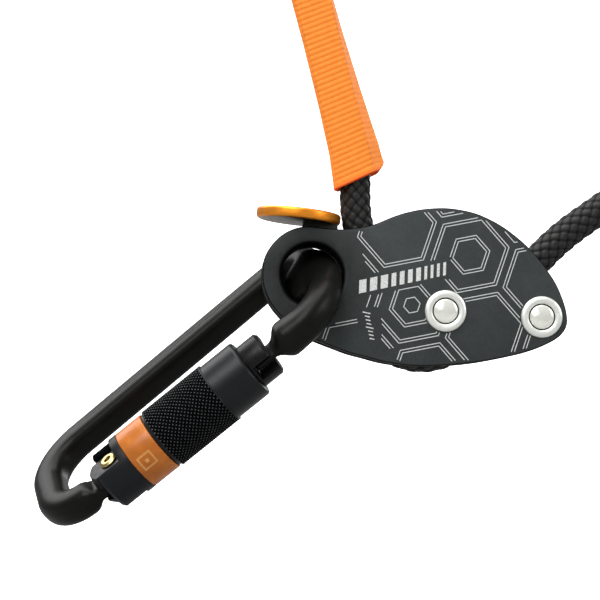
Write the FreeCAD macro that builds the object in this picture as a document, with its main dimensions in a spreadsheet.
import FreeCAD, Part
import math
import os
import re
from types import SimpleNamespace

import Sketcher

# Adjustable lanyard device ("rope grab"): two-plate rope adjuster with thumb release,
# rope, webbing sleeve and a twist-lock connector through the eye.
# Frame: origin on the axis of the eye at the mid plane of the device, plates parallel to XZ,
# front plate towards -Y, +Z up.  Millimetres and degrees.

Vector, Rotation, Placement = FreeCAD.Vector, FreeCAD.Rotation, FreeCAD.Placement
X_AXIS, Y_AXIS, Z_AXIS = Vector(1, 0, 0), Vector(0, 1, 0), Vector(0, 0, 1)
ORIGIN = Vector(0, 0, 0)

# Driving dimensions.  _r is a radius, _half a half thickness; text values are sheet formulas.
# In the connector, _u is a place along its own X (0 near the eye) and _v along its own Y.
SIZES = dict(
    # side plates and eye ferrule; plate_in and plate_out are distances from the mid plane
    plate_in=5.5, plate_out=8.0, plate_bevel=0.55,
    eye_r=9.3, ferrule_r=10.8, ferrule_lip_r=11.6, ferrule_step_y=7.0, lip_fit=0.02,
    plate_eye_r="=ferrule_r + 0.01", rim_fillet=1.9,
    # rivets and washers
    mid_x=41.4, mid_z=-11.3, exit_x=71.3, exit_z=-13.1,
    shank_r=3.0, rivet_hole_r="=shank_r + 0.04",
    head_r=3.85, head_rise=1.35, head_edge=0.55, head_gap=0.02,
    washer_r=6.45, washer_hole_r=4.05, washer_thick=1.1, washer_gap=0.01,
    # bobbin, its key pin and the spacer
    bobbin_x=34.8, bobbin_z=-8.2, bobbin_r=11.95, bobbin_half=5.45, spacer_r=6.4,
    key_r=1.5, key_hole_r="=key_r + 0.03", key_x=29.2, key_z=-4.2, key_half=6.6, key_clear=0.05,
    # rope: lead above the cam, tail beyond the bobbin
    rope_r=5.0, rope_play=0.3, core_r=3.55, mantle_inner_r=3.6, meet_angle=16.0,
    lead_low_run=8.6, lead_bend_r=40.0, lead_mid_run=4.8, lean_bend_r=60.0,
    lead_lean=15.2, lead_length=62.0,
    tail_heading=46.0, tail_run=37.4, tail_bend_r=80.0, tail_bend=11.2, tail_length=17.0,
    # cam
    cam_half=5.2, cam_bore_r=10.86, cam_hub_r=12.7, cam_nose_r=13.35, tooth_depth=0.6,
    nose_half=4.6, nose_root_r=11.6, stem_side=1.2, stem_w=10.4, stem_root=8.0, stem_flare=1.5,
    spring_seat_r=12.0, spring_seat_depth=3.4,
    # thumb disc and screw
    disc_r=13.2, disc_thick=3.3, disc_round=1.2, disc_tilt=6.1, disc_dist=16.48,
    disc_side=-5.75, dish_r=60.0, dish_depth=0.7,
    screw_r=2.0, screw_head_r=3.6, screw_head_thick=1.6, screw_len=7.0, screw_sink=0.75,
    screw_fit=0.02,
    # webbing sleeve
    sleeve_x=9.3, sleeve_z=55.6, sleeve_wall=1.0,
    # connector: place, stock and corners
    conn_pitch=38.8, conn_roll=26.5, conn_tilt=7.0, conn_off_n=0.7, conn_off_t=2.42,
    stock_r=4.87, stock_flat=4.45, gate_v=22.5, bow_u=-0.65, bow_corner=14.0,
    bow_spine_corner=10.5, foot_u=-108.0, foot_corner=15.0, foot_gate_corner=12.1,
    spine_top_v=-18.45, spine_low_v=-14.0, nose_run=3.0, foot_run=0.2,
    # connector: blade at the nose, tang and pivot at the foot
    blade_half=0.95, blade_w=8.4, blade_round=1.2, neck_end_u=-31.0,
    tang_half=2.3, tang_r=4.2, lobe_u=0.25, lobe_v=-0.9, pivot_u=-84.5, pivot_r=2.0,
    pivot_fit=0.04,
    # gate
    gate_core_r=5.4, prong_r=7.4, prong_top_u=-25.7, prong_low_u=-33.0,
    slot_half=2.6, slot_low_u=-32.2, cheek_r=6.9, cheek_flat=5.4, cheek_low_u=-92.0,
    cheek_top_u=-78.0, fork_half=2.45, fork_top_u=-78.9,
    clip_u=-62.0, clip_thick=1.0, clip_r=7.2, clip_groove_r=4.7, clip_fit=0.02,
    plunger_r=1.45, plunger_bore_r="=plunger_r + 0.05", plunger_low_u=-79.75,
    plunger_top_u=-72.0, plunger_bore_top_u=-60.0,
    # lock sleeve, band and collar round the gate
    sleeve_top_u=-33.2, smooth_r=9.7, knurl_r=10.25, knurl_top_u=-44.5, knurl_low_u=-66.2,
    groove_r=9.55, grip_low_u=-68.5, bore_r=7.6, guide_r=5.46, guide_low_u=-39.5,
    band_r=9.9, band_inner_r=8.7, band_top_u=-68.6, band_low_u=-78.3,
    collar_r=9.95, collar_low_u=-89.4,
    window_half=7.2, window_top_u=-81.0, window_low_u=-95.0, window_length=30.0,
)

os.makedirs("parts", exist_ok=True)
doc = FreeCAD.newDocument("RopeGrab")
sheet = doc.addObject("Spreadsheet::Sheet", "Sizes")
for row, (alias, value) in enumerate(SIZES.items(), start=1):
    sheet.set("A%d" % row, alias)
    sheet.set("B%d" % row, value if isinstance(value, str) else repr(value))
    sheet.setAlias("B%d" % row, alias)
doc.recompute()
size = SimpleNamespace(**{alias: float(sheet.get(alias)) for alias in SIZES})
pieces = []


# ---------------------------------------------------------------- helpers
def terms(spec):
    """Signs and words of a sum such as '-plate_out+rim_fillet'."""
    return re.findall(r"([+-]?)\s*([A-Za-z_]\w*|\d+\.?\d*)", spec)


def val(spec):
    """Value of a number or of a sum of sheet names and plain numbers."""
    if not isinstance(spec, str):
        return float(spec)
    total = 0.0
    for sign, word in terms(spec):
        number = float(word) if word[0].isdigit() else getattr(size, word)
        total += -number if sign == "-" else number
    return total


def expr(spec):
    """The same sum as an expression that reads the sheet (lengths carry mm)."""
    out = ""
    for sign, word in terms(spec):
        name = word if word[0].isdigit() else "Sizes." + word
        out += (sign or ("+" if out else "")) + name + " * 1 mm"
    return out


def keep(obj, label):
    """Register an object as a piece to export."""
    obj.Label = label
    pieces.append(obj)


def feature(label, shape, placement=None):
    obj = doc.addObject("Part::Feature", label)
    obj.Shape = shape
    if placement is not None:
        obj.Placement = placement
    keep(obj, label)


def sketch_on(body, name, role, offset=0.0):
    plane = [f for f in body.Origin.OriginFeatures if f.Role == role][0]
    sketch = body.newObject("Sketcher::SketchObject", name)
    sketch.AttachmentSupport = [(plane, "")]
    sketch.MapMode = "FlatFace"
    sketch.AttachmentOffset = Placement(Vector(0, 0, val(offset)), Rotation())
    return sketch


def hold_point(sketch, geometry, point, x_spec, y_spec):
    """Fix a point by its distances from the sketch origin, driven by the sheet."""
    for kind, axis, spec in (("DistanceX", -2, x_spec), ("DistanceY", -1, y_spec)):
        value = val(spec)
        if abs(value) < 1e-9:
            sketch.addConstraint(Sketcher.Constraint("PointOnObject", geometry, point, axis))
            continue
        index = sketch.addConstraint(Sketcher.Constraint(kind, -1, 1, geometry, point, value))
        if isinstance(spec, str):
            sketch.setExpression("Constraints[%d]" % index, expr(spec))


def polygon(sketch, corners):
    count = len(corners)
    points = [Vector(val(x), val(y), 0) for x, y in corners]
    for i in range(count):
        sketch.addGeometry(Part.LineSegment(points[i], points[(i + 1) % count]), False)
    for i in range(count):
        sketch.addConstraint(Sketcher.Constraint("Coincident", i, 2, (i + 1) % count, 1))
    for i, (x, y) in enumerate(corners):
        hold_point(sketch, i, 1, x, y)


def circle(sketch, x, y, radius):
    curve = Part.Circle(Vector(val(x), val(y), 0), Z_AXIS, val(radius))
    geometry = sketch.addGeometry(curve, False)
    index = sketch.addConstraint(Sketcher.Constraint("Radius", geometry, val(radius)))
    sketch.setExpression("Constraints[%d]" % index, expr(radius))
    hold_point(sketch, geometry, 3, x, y)


def cut_pocket(body, name, sketch, length, **settings):
    """Pocket that must take material off the body."""
    before = body.Tip.Shape.Volume
    pocket = body.newObject("PartDesign::Pocket", name)
    pocket.Profile = sketch
    pocket.setExpression("Length", expr(length))
    for setting, value in settings.items():
        setattr(pocket, setting, value)
    doc.recompute()
    if pocket.Shape.Volume > before - 1.0:
        raise RuntimeError(name + " did not cut")
    return pocket


def revolved_body(label, prefix, profile):
    """PartDesign body turned about its own Z from a (radius, height) profile."""
    body = doc.addObject("PartDesign::Body", label)
    sketch = sketch_on(body, prefix + "_profile", "XZ_Plane")
    polygon(sketch, profile)
    turn = body.newObject("PartDesign::Revolution", prefix + "_turn")
    turn.Profile = sketch
    turn.ReferenceAxis = (sketch, ["V_Axis"])
    turn.Angle = 360.0
    doc.recompute()
    return body


def turned(label, profile, placement):
    body = revolved_body(label, label, profile)
    body.Placement = placement
    keep(body, label)


def along_y(x, z, y=0.0):
    """Placement that lays own Z along +Y through (x, z), starting at y."""
    return Placement(Vector(val(x), val(y), val(z)), Rotation(X_AXIS, -90))


def revolved_wire(wire, base, axis):
    """Solid turned from a closed wire."""
    shape = Part.Face(wire).revolve(base, axis, 360)
    return shape if shape.ShapeType == "Solid" else Part.Solid(Part.Shell(shape.Faces))


def closed_polygon(points):
    return Part.makePolygon(points + [points[0]])


def closed_spline(points):
    curve = Part.BSplineCurve()
    curve.interpolate(Points=points, PeriodicFlag=True)
    return curve


def polar_xz(radius, degrees):
    angle = math.radians(degrees)
    return Vector(radius * math.cos(angle), 0, radius * math.sin(angle))


def slab_y(points, half):
    """Slab over an XZ outline, from y = -half to +half."""
    outline = closed_polygon([Vector(p.x, -half, p.z) for p in points])
    return Part.Face(outline).extrude(Vector(0, 2 * half, 0))


def coil(radius, wire, pitch, turns, per_turn=14):
    """Spring wound round Z as a closed tube of flat triangles, six-sided in section."""
    sides = 6
    steps = int(turns * per_turn)
    slope = math.atan2(pitch, 2 * math.pi * radius)
    around = [2 * math.pi * j / sides for j in range(sides)]
    rings = []
    for k in range(steps + 1):
        angle = 2 * math.pi * k / per_turn
        out = Vector(math.cos(angle), math.sin(angle), 0)
        rise = Vector(math.sin(angle) * math.sin(slope), -math.cos(angle) * math.sin(slope),
                      math.cos(slope))
        middle = out * radius + Vector(0, 0, pitch * k / per_turn)
        rings.append([middle + (out * math.cos(b) + rise * math.sin(b)) * (wire / 2)
                      for b in around])
    faces = [Part.Face(closed_polygon(rings[0][::-1])), Part.Face(closed_polygon(rings[-1]))]
    for near, far in zip(rings, rings[1:]):
        for j in range(sides):
            after = (j + 1) % sides
            faces.append(Part.Face(closed_polygon([near[j], near[after], far[after]])))
            faces.append(Part.Face(closed_polygon([near[j], far[after], far[j]])))
    solid = Part.Solid(Part.Shell(faces))
    if solid.Volume < 0:
        solid.reverse()
    return solid


# ---------------------------------------------------------------- side plates
# (x, z) points of the plate edge, joined by a closed spline
PLATE_OUTLINE = [
    (-15.3, 0.6), (-14.9, 4.2), (-13.6, 7.3), (-12.2, 9.3), (-10.2, 11.4), (-7.4, 13.3),
    (-4.2, 14.5), (-1.0, 14.9), (2.4, 14.6), (6.0, 14.15), (9.6, 14.0), (13.2, 14.25),
    (17.0, 14.9), (21.0, 16.2), (25.0, 17.9), (29.3, 19.3), (34.0, 20.3), (38.0, 20.7),
    (42.0, 20.75), (46.5, 20.2), (51.0, 19.15), (55.2, 17.4), (59.2, 15.2), (63.2, 12.3),
    (67.4, 8.6), (70.6, 5.0), (73.6, 1.0), (75.9, -2.6), (77.6, -6.4), (78.7, -9.6),
    (79.3, -12.6), (79.3, -15.2), (78.3, -17.6), (76.3, -19.6), (73.4, -21.3), (69.5, -23.0),
    (64.0, -24.7), (59.0, -25.8), (53.6, -26.8), (48.6, -27.5), (43.6, -27.95), (39.0, -28.25),
    (34.4, -28.4), (29.7, -28.2), (25.1, -27.6), (20.8, -26.8), (16.4, -25.6), (11.5, -24.3),
    (6.6, -22.5), (1.7, -20.6), (-2.6, -18.5), (-6.3, -16.0), (-9.9, -12.7), (-12.6, -9.3),
    (-14.4, -5.6), (-15.2, -2.4),
]
RIVET_STATIONS = (("mid_x", "mid_z"), ("exit_x", "exit_z"))


def side_plate(label, front):
    """Plate with eye, rivet holes, lip seat outside and key pin seat inside."""
    # the normal of an XZ sketch points to -Y, towards the front
    side = "" if front else "-"
    body = doc.addObject("PartDesign::Body", label)
    sketch = sketch_on(body, label + "_outline", "XZ_Plane",
                       "plate_in" if front else "-plate_out")
    edge = sketch.addGeometry(closed_spline([Vector(x, z, 0) for x, z in PLATE_OUTLINE]), False)
    sketch.addConstraint(Sketcher.Constraint("Block", edge))
    circle(sketch, 0, 0, "plate_eye_r")
    for x, z in RIVET_STATIONS:
        circle(sketch, x, z, "rivet_hole_r")
    pad = body.newObject("PartDesign::Pad", label + "_pad")
    pad.Profile = sketch
    pad.setExpression("Length", expr("plate_out-plate_in"))
    doc.recompute()

    seat = sketch_on(body, label + "_lip_seat", "XZ_Plane", side + "plate_out")
    circle(seat, 0, 0, "ferrule_lip_r+lip_fit")
    cut_pocket(body, label + "_lip_pocket", seat, "plate_out-ferrule_step_y",
               Reversed=not front)

    # blind seat for the bobbin key pin, in the inner face
    seat = sketch_on(body, label + "_key_seat", "XZ_Plane", side + "plate_in")
    circle(seat, "key_x", "key_z", "key_hole_r")
    pocket = cut_pocket(body, label + "_key_pocket", seat, "key_half-plate_in+key_clear",
                        Reversed=front)

    # bevel round the outer face: its one long edge
    face_y = val(("-" if front else "") + "plate_out")
    names = []
    for i, edge in enumerate(pocket.Shape.Edges, start=1):
        box = edge.BoundBox
        flat = abs(box.YMin - face_y) < 1e-4 and abs(box.YMax - face_y) < 1e-4
        if flat and box.XLength > 60:
            names.append("Edge%d" % i)
    bevel = body.newObject("PartDesign::Chamfer", label + "_bevel")
    bevel.Base = (pocket, names)
    bevel.setExpression("Size", expr("plate_bevel"))
    doc.recompute()
    # the chamfer follows a spline edge and can fail: the plate then stays square-edged
    if not bevel.isValid() or not bevel.Shape.isValid() or bevel.Shape.Volume < 100:
        body.removeObject(bevel)
        doc.removeObject(bevel.Name)
        body.Tip = pocket
        doc.recompute()
    keep(body, label)


# ---------------------------------------------------------------- ferrule, bobbin, rivets
def eye_ferrule():
    """Bush through both plates, lips seated flush, with rounded mouths."""
    steps = 5
    angles = [math.pi / 2 * k / steps for k in range(1, steps + 1)]
    fillet = size.rim_fillet
    # mouth at the +Y end, from the bore to the end face
    mouth = [(size.eye_r + fillet * (1 - math.cos(a)),
              size.plate_out - fillet + fillet * math.sin(a)) for a in angles]
    profile = [("eye_r", "-plate_out+rim_fillet"), ("eye_r", "plate_out-rim_fillet")]
    profile += mouth
    profile += [("ferrule_lip_r", "plate_out"), ("ferrule_lip_r", "ferrule_step_y"),
                ("ferrule_r", "ferrule_step_y"), ("ferrule_r", "-ferrule_step_y"),
                ("ferrule_lip_r", "-ferrule_step_y"), ("ferrule_lip_r", "-plate_out")]
    profile += [(radius, -height) for radius, height in reversed(mouth)]
    turned("eye_ferrule", profile, along_y(0, 0))


def rope_bobbin():
    """Fixed drum between the plates, bored off centre for the rivet and the key pin."""
    body = doc.addObject("PartDesign::Body", "rope_bobbin")
    sketch = sketch_on(body, "bobbin_outline", "XZ_Plane", "-bobbin_half")
    circle(sketch, "bobbin_x", "bobbin_z", "bobbin_r")
    circle(sketch, "mid_x", "mid_z", "rivet_hole_r")
    circle(sketch, "key_x", "key_z", "key_hole_r")
    pad = body.newObject("PartDesign::Pad", "bobbin_pad")
    pad.Profile = sketch
    pad.setExpression("Length", "2 * Sizes.bobbin_half * 1 mm")
    doc.recompute()
    keep(body, "rope_bobbin")


def bobbin_key_pin():
    pin = doc.addObject("Part::Cylinder", "bobbin_key_pin")
    pin.setExpression("Radius", expr("key_r"))
    pin.setExpression("Height", "2 * Sizes.key_half * 1 mm")
    doc.recompute()
    pin.Placement = along_y("key_x", "key_z", "-key_half")
    keep(pin, "bobbin_key_pin")


def exit_spacer():
    turned("exit_spacer", [("rivet_hole_r", "-bobbin_half"), ("spacer_r", "-bobbin_half"),
                           ("spacer_r", "bobbin_half"), ("rivet_hole_r", "bobbin_half")],
           along_y("exit_x", "exit_z"))


def plate_rivet(label, x, z):
    """Plain shank with a domed head at each end."""
    steps = 6
    edge_y = size.plate_out + size.head_gap + size.head_edge
    dome = []
    for k in range(steps):
        angle = math.pi / 2 * k / steps
        dome.append((size.head_r * math.cos(angle),
                     edge_y + (size.head_rise - size.head_edge) * math.sin(angle)))
    dome.append((0.0, size.plate_out + size.head_gap + size.head_rise))
    profile = [(radius, -height) for radius, height in reversed(dome)]
    profile += [("head_r", "-plate_out-head_gap"), ("shank_r", "-plate_out-head_gap"),
                ("shank_r", "plate_out+head_gap"), ("head_r", "plate_out+head_gap")]
    turned(label, profile + dome, along_y(x, z))


def washers(label, front):
    """Raised rings round the two rivet heads of one side, as one piece."""
    inner, outer, thick = size.washer_hole_r, size.washer_r, size.washer_thick
    # section corners, own Z outwards from the plate; an arc rounds the outer shoulder
    foot_in, foot_out = Vector(inner, 0, 0), Vector(outer, 0, 0)
    arc_low = Vector(outer, 0, thick * 0.45)
    arc_mid = Vector(outer - 0.55, 0, thick * 0.9)
    arc_top = Vector(outer - 1.15, 0, thick)
    bevel_top = Vector(inner + 0.35, 0, thick * 0.92)
    bevel_low = Vector(inner, 0, thick * 0.6)
    face_y = size.plate_out + size.washer_gap
    group = []
    for x, z in RIVET_STATIONS:
        section = Part.Wire([
            Part.makeLine(foot_in, foot_out),
            Part.makeLine(foot_out, arc_low),
            Part.Arc(arc_low, arc_mid, arc_top).toShape(),
            Part.makeLine(arc_top, bevel_top),
            Part.makeLine(bevel_top, bevel_low),
            Part.makeLine(bevel_low, foot_in),
        ])
        ring = revolved_wire(section, ORIGIN, Z_AXIS)
        ring.Placement = Placement(Vector(val(x), -face_y if front else face_y, val(z)),
                                   Rotation(X_AXIS, 90 if front else -90))
        group.append(ring)
    feature(label, Part.makeCompound(group))


# ---------------------------------------------------------------- rope
class Run:
    """Centreline laid down as lines and tangent arcs in the XZ plane."""

    def __init__(self, start, heading):
        self.point = start
        self.heading = math.radians(heading)
        self.edges = []

    def ahead(self, length):
        step = Vector(math.cos(self.heading), 0, math.sin(self.heading)) * length
        self.edges.append(Part.makeLine(self.point, self.point + step))
        self.point = self.point + step

    def turn(self, radius, degrees):
        """Positive degrees turn the heading from +X towards +Z."""
        reach = radius if degrees > 0 else -radius

        def normal(heading):
            return Vector(-math.sin(heading), 0, math.cos(heading)) * reach

        centre = self.point + normal(self.heading)
        end_heading = self.heading + math.radians(degrees)
        middle = centre - normal(self.heading + math.radians(degrees) * 0.5)
        end = centre - normal(end_heading)
        self.edges.append(Part.Arc(self.point, middle, end).toShape())
        self.point, self.heading = end, end_heading


lead_angle = math.radians(90 + size.lead_lean)
lead_dir = Vector(math.cos(lead_angle), 0, math.sin(lead_angle))


def rope():
    """Core and mantle, laid both ways from where the rope meets the circle round the cam."""
    cam_path_r = size.cam_nose_r + size.rope_r + size.rope_play
    bobbin_path_r = math.hypot(size.bobbin_x, size.bobbin_z) - cam_path_r
    bobbin_angle = math.degrees(math.atan2(size.bobbin_z, size.bobbin_x))
    meet = polar_xz(cam_path_r, size.meet_angle)

    lead = Run(meet, 90 + size.meet_angle)
    lead.ahead(size.lead_low_run)
    lead.turn(size.lead_bend_r, -size.meet_angle)
    lead.ahead(size.lead_mid_run)
    lead.turn(size.lean_bend_r, size.lead_lean)
    lead.ahead(size.lead_length)

    tail = Run(meet, -90 + size.meet_angle)
    tail.turn(cam_path_r, -(size.meet_angle - bobbin_angle))
    tail.turn(bobbin_path_r, 90 + size.tail_heading - bobbin_angle)
    tail.ahead(size.tail_run)
    tail.turn(size.tail_bend_r, -size.tail_bend)
    tail.ahead(size.tail_length)

    edges = [edge.copy() for edge in lead.edges[::-1]] + tail.edges
    centreline = Part.Wire(Part.__sortEdges__(edges))

    def pipe(radius):
        section = Part.makeCircle(radius, lead.point, lead_dir.negative())
        shell = Part.BRepOffsetAPI.MakePipeShell(centreline)
        shell.setBiNormalMode(Y_AXIS)
        shell.add(Part.Wire([section]), False, False)
        shell.build()
        shell.makeSolid()
        return shell.shape()

    feature("rope_core", pipe(size.core_r))
    feature("rope_mantle", pipe(size.rope_r).cut(pipe(size.mantle_inner_r)))


# ---------------------------------------------------------------- cam, thumb disc, spring
tilt = math.radians(size.disc_tilt)
disc_out = Vector(math.sin(tilt), 0, math.cos(tilt))       # normal of the disc, outwards
disc_along = Vector(math.cos(tilt), 0, -math.sin(tilt))    # along the disc, towards +X
disc_turn = Rotation(disc_along, Y_AXIS, disc_out, "ZXY")


def release_cam():
    """Hub round the ferrule, toothed nose on the rope side and a stem for the disc."""
    half = size.cam_half
    hub = Part.makeCylinder(size.cam_hub_r, 2 * half, Vector(0, -half, 0), Y_AXIS)

    # nose: teeth from first to last degree, each valley at a fraction of the tooth pitch
    first, last, teeth, valley = -24.0, 40.0, 16, 0.62
    nose_points = []
    for k in range(teeth + 1):
        nose_points.append(polar_xz(size.cam_nose_r, first + (last - first) * k / teeth))
        if k < teeth:
            nose_points.append(polar_xz(size.cam_nose_r - size.tooth_depth,
                                        first + (last - first) * (k + valley) / teeth))
    nose_points += [polar_xz(size.nose_root_r, angle) for angle in (44.0, 20.0, -4.0, -28.0)]
    nose = slab_y(nose_points, size.nose_half)

    left, right = size.stem_side - size.stem_w / 2, size.stem_side + size.stem_w / 2
    root, top = disc_out * size.stem_root, disc_out * size.disc_dist
    stem = slab_y([disc_along * (left - size.stem_flare) + root, disc_along * left + top,
                   disc_along * right + top, disc_along * (right + size.stem_flare) + root],
                  half)

    cam = hub.fuse([nose, stem]).removeSplitter()
    cam = cam.cut(Part.makeCylinder(size.cam_bore_r, 30, Vector(0, -15, 0), Y_AXIS))
    # annular pocket on the back side for the torsion spring
    depth = size.spring_seat_depth
    seat = Part.makeCylinder(size.spring_seat_r, depth, Vector(0, half - depth, 0), Y_AXIS)
    seat = seat.cut(Part.makeCylinder(size.cam_bore_r - 1, 5, Vector(0, half - 4, 0), Y_AXIS))
    cam = cam.cut(seat)
    hole_depth, overshoot = 5.2, 1.0
    hole_at = disc_along * size.stem_side + disc_out * (size.disc_dist - hole_depth)
    cam = cam.cut(Part.makeCylinder(size.screw_r + size.screw_fit, hole_depth + overshoot,
                                    hole_at, disc_out))
    feature("release_cam", cam)


def thumb_disc():
    """Rounded, dished disc with a counterbored hole over the stem."""
    thick = size.disc_thick
    disc = Part.makeCylinder(size.disc_r, thick)
    rims = [e for e in disc.Edges if e.Curve.TypeId == "Part::GeomCircle"]
    disc = disc.makeFillet(size.disc_round, rims)
    disc = disc.cut(Part.makeSphere(size.dish_r,
                                    Vector(0, 0, thick - size.dish_depth + size.dish_r)))
    hole_x = size.stem_side - size.disc_side
    disc = disc.cut(Part.makeCylinder(size.screw_r + size.screw_fit, 10,
                                      Vector(hole_x, 0, -1)))
    seat_z = thick - size.screw_sink - size.screw_head_thick
    disc = disc.cut(Part.makeCylinder(size.screw_head_r + size.screw_fit, 10,
                                      Vector(hole_x, 0, seat_z)))
    feature("thumb_disc", disc,
            Placement(disc_along * size.disc_side + disc_out * size.disc_dist, disc_turn))


def disc_screw():
    top = size.disc_dist + size.disc_thick - size.screw_sink
    turned("disc_screw",
           [(0, 0), ("screw_head_r", 0), ("screw_head_r", "-screw_head_thick"),
            ("screw_r", "-screw_head_thick"), ("screw_r", "-screw_len"), (0, "-screw_len")],
           Placement(disc_along * size.stem_side + disc_out * top, disc_turn))


def cam_spring():
    lift = 0.55    # of the first turn's centre above the pocket floor
    spring = coil(radius=11.45, wire=0.9, pitch=1.02, turns=2, per_turn=24)
    feature("cam_spring", spring,
            along_y(0, 0, size.cam_half - size.spring_seat_depth + lift))


# ---------------------------------------------------------------- webbing sleeve
# sections: distance along the rope lead, shift across it in XZ, width, depth in Y
SLEEVE_MIDDLE = [(-16.0, -0.1, 16.5, 13.0), (0.0, -0.1, 14.9, 13.0), (20.0, -0.2, 13.7, 13.0)]
SLEEVE_OUTER = [(-30.0, -1.1, 18.4, 13.0)] + SLEEVE_MIDDLE + [(41.5, -0.3, 13.3, 13.0)]
# the inside runs past both ends
SLEEVE_INNER = [(-32.0, -1.2, 18.6, 13.0)] + SLEEVE_MIDDLE + [(43.0, -0.3, 13.3, 13.0)]
# ends of the slanting lower mouth, lower towards -X
MOUTH_LEFT, MOUTH_RIGHT = Vector(6.4, 0, 26.3), Vector(23.6, 0, 34.2)


def webbing_sleeve():
    across = Vector(lead_dir.z, 0, -lead_dir.x)
    base = Vector(size.sleeve_x, 0, size.sleeve_z)

    def oval(centre, width, depth):
        """Rounded-box section as one closed spline; the power squares up the ellipse."""
        count, power = 16, 0.62
        points = []
        for k in range(count):
            angle = 2 * math.pi * k / count
            c, s = math.cos(angle), math.sin(angle)
            x = width / 2 * math.copysign(abs(c) ** power, c)
            y = depth / 2 * math.copysign(abs(s) ** power, s)
            points.append(centre + across * x + Vector(0, y, 0))
        return Part.Wire([closed_spline(points).toShape()])

    def loft(sections, wall):
        ovals = [oval(base + lead_dir * along + across * shift,
                      width - 2 * wall, depth - 2 * wall)
                 for along, shift, width, depth in sections]
        return Part.makeLoft(ovals, True, False)

    web = loft(SLEEVE_OUTER, 0.0).cut(loft(SLEEVE_INNER, size.sleeve_wall))
    below = Part.makeBox(80, 60, 60, Vector(-40, -30, -60))
    slope = math.degrees(math.atan2(MOUTH_RIGHT.z - MOUTH_LEFT.z, MOUTH_RIGHT.x - MOUTH_LEFT.x))
    below.Placement = Placement((MOUTH_LEFT + MOUTH_RIGHT) * 0.5, Rotation(Y_AXIS, -slope))
    feature("webbing_sleeve", web.cut(below))


# ---------------------------------------------------------------- connector frame
# own X runs along the connector towards the eye, own Y from spine to gate,
# own Z across its plane; the gate axis is parallel to own X at y = gate_v
def connector_frame():
    pitch, roll = math.radians(size.conn_pitch), math.radians(size.conn_roll)
    lean = math.radians(size.conn_tilt)
    front = Vector(0, -1, 0)
    flat_along = Vector(math.cos(pitch), 0, math.sin(pitch))
    flat_normal = Vector(math.sin(pitch), 0, -math.cos(pitch))
    own_x = flat_along * math.cos(lean) + front * math.sin(lean)
    level = front * math.cos(lean) - flat_along * math.sin(lean)
    own_y = flat_normal * math.sin(roll) + level * math.cos(roll)
    return Placement(flat_normal * size.conn_off_n + flat_along * size.conn_off_t,
                     Rotation(own_x, own_y, own_x.cross(own_y), "XYZ"))


conn_frame = connector_frame()
# bodies turned about the gate axis: own Z of each lies along the connector
gate_frame = conn_frame.multiply(Placement(Vector(0, size.gate_v, 0), Rotation(Z_AXIS, X_AXIS)))


def on_gate_axis(u):
    return gate_frame.multiply(Placement(Vector(0, 0, u), Rotation()))


def turned_u(profile):
    """Solid turned about the gate axis from (u, radius) pairs."""
    wire = closed_polygon([Vector(u, size.gate_v + radius, 0) for u, radius in profile])
    return revolved_wire(wire, Vector(0, size.gate_v, 0), X_AXIS)


def gate_cylinder(radius, u, length):
    return Part.makeCylinder(radius, length, Vector(u, size.gate_v, 0), X_AXIS)


def gate_box(u, length, width, z, height):
    """Box centred on the gate axis in own Y, from u and z upwards."""
    return Part.makeBox(length, width, height, Vector(u, size.gate_v - width / 2, z))


def pivot_hole():
    return Part.makeCylinder(size.pivot_r + size.pivot_fit, 30,
                             Vector(size.pivot_u, size.gate_v, -15), Z_AXIS)


# ---------------------------------------------------------------- connector body
def rounded_path(points, radii):
    """Open path in the connector plane: straight runs joined by tangent arcs."""
    points = [Vector(u, v, 0) for u, v in points]
    edges, reached = [], points[0]
    for before, corner, after, radius in zip(points, points[1:], points[2:], radii):
        back, onward = (before - corner).normalize(), (after - corner).normalize()
        half_angle = math.acos(back.dot(onward)) / 2
        setback = radius / math.tan(half_angle)
        inward = (back + onward).normalize()
        centre = corner + inward * (radius / math.sin(half_angle))
        start, end = corner + back * setback, corner + onward * setback
        edges.append(Part.makeLine(reached, start))
        edges.append(Part.Arc(start, centre - inward * radius, end).toShape())
        reached = end
    edges.append(Part.makeLine(reached, points[-1]))
    return Part.Wire(edges)


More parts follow.
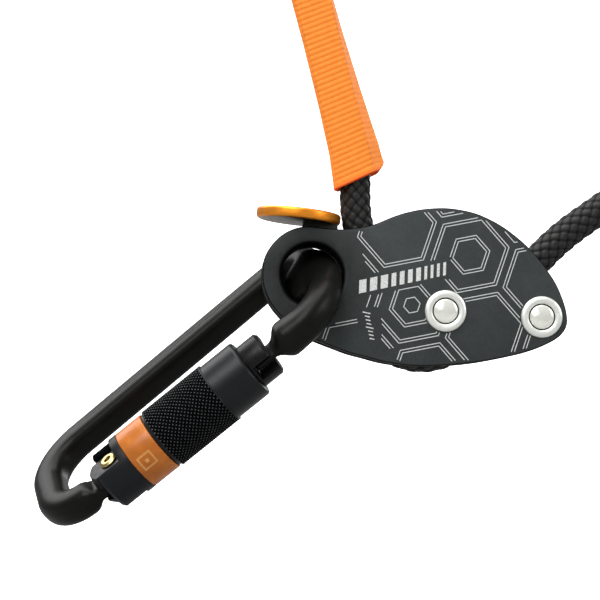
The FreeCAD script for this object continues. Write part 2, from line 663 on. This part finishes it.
def connector_body():
    gate_v, stock_r = size.gate_v, size.stock_r
    nose_u = size.bow_u - size.bow_corner - size.nose_run
    foot_end = size.foot_u + size.foot_gate_corner + size.foot_run
    path = rounded_path(
        [(nose_u, gate_v), (size.bow_u, gate_v), (size.bow_u, size.spine_top_v),
         (size.foot_u, size.spine_low_v), (size.foot_u, gate_v), (foot_end, gate_v)],
        [size.bow_corner, size.bow_spine_corner, size.foot_corner, size.foot_gate_corner])
    section = Part.makeCircle(stock_r, Vector(nose_u, gate_v, 0), X_AXIS)
    stock = path.makePipeShell([Part.Wire([section])], True, True)

    # nose: swells to a bulb, necks down and ends in a flat blade between the gate's prongs
    neck_u = size.neck_end_u
    nose = turned_u([(nose_u, 0), (nose_u, stock_r), (-17.2, 5.5), (-18.6, 5.9), (-20.2, 5.8),
                     (-21.8, 4.9), (-23.2, 3.6), (-24.4, 3.0), (neck_u, 3.0), (neck_u, 0)])
    half = size.blade_half
    blade = gate_box(neck_u - 0.2, 6.6, size.blade_w, -half, 2 * half)
    uprights = [e for e in blade.Edges if abs(e.BoundBox.ZLength - 2 * half) < 1e-6]
    blade = blade.makeFillet(size.blade_round, uprights)
    for z in (half, -20 - half):
        nose = nose.cut(gate_box(neck_u - 0.5, 8.0, 20, z, 20))

    # tang: foot narrows to a blade round the pivot, with a lobe for the plunger
    pivot_u, tang_r, half = size.pivot_u, size.tang_r, size.tang_half
    tang = Part.makeCylinder(tang_r, 2 * half, Vector(pivot_u, gate_v, -half), Z_AXIS)
    lobe_at = Vector(pivot_u + size.lobe_u, gate_v + size.lobe_v, -half)
    lobe = Part.makeCylinder(tang_r, 2 * half, lobe_at, Z_AXIS)
    shank = gate_box(foot_end, pivot_u - foot_end, 2 * tang_r, -half, 2 * half)
    shoulder = turned_u([(foot_end, 0), (foot_end, stock_r), (foot_end + 1.6, 4.6),
                         (foot_end + 2.6, 3.9), (foot_end + 2.6, 0)])
    body = stock.fuse([nose, blade, tang, lobe, shank, shoulder]).removeSplitter()

    # flats on both sides of the stock, left full round where it swells at the nose
    for z in (size.stock_flat, -size.stock_flat - 10):
        trim = Part.makeBox(200, 200, 10, Vector(-150, -100, z))
        body = body.cut(trim.cut(gate_box(-26, 16, 20, -15, 30)))
    feature("connector_body", body.cut(pivot_hole()), conn_frame)


# ---------------------------------------------------------------- gate and its small parts
def gate_body():
    """Round core with two prongs at the nose end and two flat cheeks at the pivot."""
    core_r, cheek_r, prong_r = size.gate_core_r, size.cheek_r, size.prong_r
    cheek_low, cheek_top = size.cheek_low_u, size.cheek_top_u
    prong_low, prong_top = size.prong_low_u, size.prong_top_u
    cheek_bevel, prong_bevel = 1.6, 0.8
    gate = turned_u([
        (cheek_low, 0), (cheek_low, cheek_r - cheek_bevel), (cheek_low + cheek_bevel, cheek_r),
        (cheek_top, cheek_r), (cheek_top, core_r), (prong_low, core_r), (prong_low, prong_r),
        (prong_top - prong_bevel, prong_r), (prong_top, prong_r - prong_bevel),
        (prong_top, 0)])
    for z in (size.cheek_flat, -size.cheek_flat - 10):
        gate = gate.cut(gate_box(cheek_top - 16, 20, 30, z, 10))
    # slot between the prongs, then fork between the cheeks
    gate = gate.cut(gate_box(size.slot_low_u, 10, 30, -size.slot_half, 2 * size.slot_half))
    gate = gate.cut(gate_box(cheek_low - 5, size.fork_top_u - cheek_low + 5, 30,
                             -size.fork_half, 2 * size.fork_half))
    gate = gate.cut(pivot_hole())
    gate = gate.cut(gate_cylinder(size.plunger_bore_r, size.fork_top_u - 1,
                                  size.plunger_bore_top_u - size.fork_top_u + 1))
    groove = gate_cylinder(core_r + 2, size.clip_u - 0.05, size.clip_thick + 0.1)
    groove = groove.cut(gate_cylinder(size.clip_groove_r, size.clip_u - 1, 4))
    feature("gate_body", gate.cut(groove), conn_frame)


def sleeve_circlip():
    """Ring in the gate's groove, open towards own +Y."""
    opening = 5.0
    clip = gate_cylinder(size.clip_r, size.clip_u, size.clip_thick)
    clip = clip.cut(gate_cylinder(size.clip_groove_r + size.clip_fit, size.clip_u - 1, 4))
    clip = clip.cut(Part.makeBox(4, 12, opening,
                                 Vector(size.clip_u - 1, size.gate_v, -opening / 2)))
    feature("sleeve_circlip", clip, conn_frame)


def gate_rivet():
    """Pivot rivet with a blind-free bore, own Z across the connector plane."""
    face = size.cheek_flat
    # (radius, height) of one end, from the bore to the shank
    end = [(1.15, face + 1.0), (2.2, face + 0.95), (3.0, face + 0.35), (3.0, face + 0.01),
           (size.pivot_r, face + 0.01)]
    profile = [(radius, -height) for radius, height in end] + end[::-1]
    wire = closed_polygon([Vector(radius, 0, height) for radius, height in profile])
    at_pivot = Placement(Vector(size.pivot_u, size.gate_v, 0), Rotation())
    feature("gate_rivet", revolved_wire(wire, ORIGIN, Z_AXIS), conn_frame.multiply(at_pivot))


def gate_plunger():
    turned("gate_plunger",
           [(0, "plunger_low_u"), (1.0, "plunger_low_u"), ("plunger_r", "plunger_low_u+0.5"),
            ("plunger_r", "plunger_top_u"), (0, "plunger_top_u")], gate_frame)


def gate_spring():
    feature("gate_spring", coil(radius=1.05, wire=0.5, pitch=1.275, turns=8),
            on_gate_axis(size.plunger_top_u + 1.15))


def sleeve_spring():
    feature("sleeve_spring", coil(radius=6.45, wire=0.95, pitch=2.75, turns=7, per_turn=16),
            on_gate_axis(size.clip_u + size.clip_thick + 0.6))


# ---------------------------------------------------------------- lock sleeve, band, collar
def lock_sleeve():
    turned("lock_sleeve", [
        ("guide_r", "sleeve_top_u"), ("smooth_r-0.7", "sleeve_top_u"),
        ("smooth_r", "sleeve_top_u-0.7"), ("smooth_r", "knurl_top_u"),
        ("knurl_r-0.3", "knurl_top_u"), ("knurl_r", "knurl_top_u-0.4"),
        ("knurl_r", "knurl_low_u+0.4"), ("knurl_r-0.3", "knurl_low_u"),
        ("groove_r", "knurl_low_u"), ("groove_r", "grip_low_u"), ("bore_r", "grip_low_u"),
        ("bore_r", "guide_low_u"), ("guide_r", "guide_low_u")], gate_frame)


def indicator_band():
    turned("indicator_band", [
        ("band_inner_r", "band_low_u+0.02"), ("band_r", "band_low_u+0.02"),
        ("band_r", "band_top_u-0.1"), ("band_inner_r", "band_top_u-0.1")], gate_frame)


def lock_collar():
    """Collar under the band, with windows in the lower rim that free the rivet heads."""
    collar = revolved_body("lock_collar", "collar", [
        ("bore_r", "grip_low_u-0.02"), ("band_inner_r-0.02", "grip_low_u-0.02"),
        ("band_inner_r-0.02", "band_low_u"), ("collar_r", "band_low_u"),
        ("collar_r", "collar_low_u+0.9"), ("collar_r-0.9", "collar_low_u"),
        ("bore_r", "collar_low_u")])
    window = sketch_on(collar, "collar_window", "YZ_Plane")
    polygon(window, [("-window_half", "window_top_u"), ("-window_half", "window_low_u"),
                     ("window_half", "window_low_u"), ("window_half", "window_top_u")])
    cut_pocket(collar, "collar_window_cut", window, "window_length", Midplane=True)
    collar.Placement = gate_frame
    keep(collar, "lock_collar")


# ---------------------------------------------------------------- build and export
side_plate("front_plate", front=True)
side_plate("back_plate", front=False)
eye_ferrule()
rope_bobbin()
bobbin_key_pin()
exit_spacer()
plate_rivet("bobbin_rivet", "mid_x", "mid_z")
plate_rivet("exit_rivet", "exit_x", "exit_z")
washers("front_washers", front=True)
washers("back_washers", front=False)
rope()
release_cam()
thumb_disc()
disc_screw()
cam_spring()
webbing_sleeve()
connector_body()
gate_body()
sleeve_circlip()
gate_rivet()
gate_plunger()
gate_spring()
sleeve_spring()
lock_sleeve()
indicator_band()
lock_collar()

doc.recompute()
bad = []
for obj in doc.Objects:
    if "Invalid" in obj.State or "Error" in obj.State:
        bad.append(obj.Name + " " + str(obj.State))
labels = set()
for obj in pieces:
    if obj.Shape.isNull() or not obj.Shape.isValid():
        bad.append(obj.Label + " shape")
    if obj.Label in labels:
        bad.append(obj.Label + " twice")
    labels.add(obj.Label)
if bad:
    raise RuntimeError("failed objects: " + "; ".join(bad))
for obj in pieces:
    obj.Shape.exportStep("parts/%s.step" % obj.Label)
